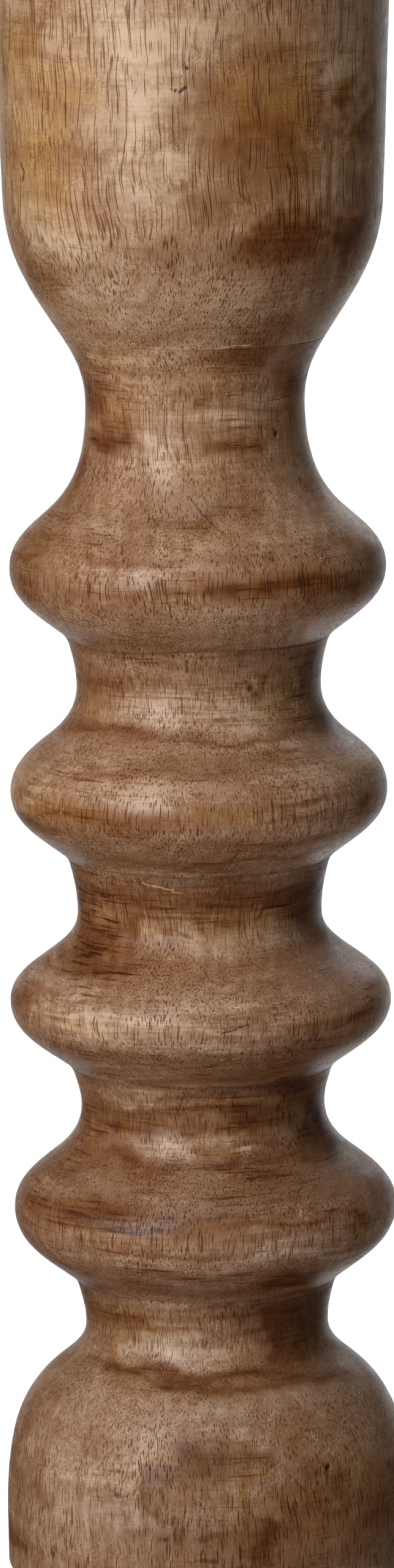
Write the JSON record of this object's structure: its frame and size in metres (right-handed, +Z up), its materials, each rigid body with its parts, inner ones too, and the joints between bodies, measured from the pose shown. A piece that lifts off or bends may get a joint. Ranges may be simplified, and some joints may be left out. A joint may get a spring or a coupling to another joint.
{
  "type": "candlestick",
  "caption": "Tall turned hardwood candlestick with a drum-shaped cup, a stack of rounded beads and narrow coves, a heavy round base, and a shallow metal pan with a spike for a pillar candle.",
  "frame": {"origin": "on the table, under the middle of the base, at the bottom of the felt pads", "axes": "+Z up along the turning axis, towards the candle; X and Y level, with a felt pad between each pair of them"},
  "size_m": [0.1, 0.1, 0.442],
  "materials": {
    "turned_wood": "satin clear finish over brown hardwood with dark pores and streaky figure",
    "dowel_wood": "plain dry hardwood",
    "pan_brass": "aged, lightly brushed round the axis",
    "screw_steel": "plain zinc",
    "felt": "pressed wool felt"
  },
  "bodies": {
    "root": {"base_block": "turned_wood", "lower_bead_block": "turned_wood", "middle_bead_block": "turned_wood", "upper_bead_block": "turned_wood", "neck_block": "turned_wood", "cup_block": "turned_wood", "joint_dowel_1": "dowel_wood", "joint_dowel_2": "dowel_wood", "joint_dowel_3": "dowel_wood", "joint_dowel_4": "dowel_wood", "joint_dowel_5": "dowel_wood", "candle_pan": "pan_brass", "pricket_spike": "pan_brass", "pan_screw_1": "screw_steel", "pan_screw_2": "screw_steel", "pan_screw_3": "screw_steel", "foot_pad_1": "felt", "foot_pad_2": "felt", "foot_pad_3": "felt", "foot_pad_4": "felt"}
  },
  "joints": []
}
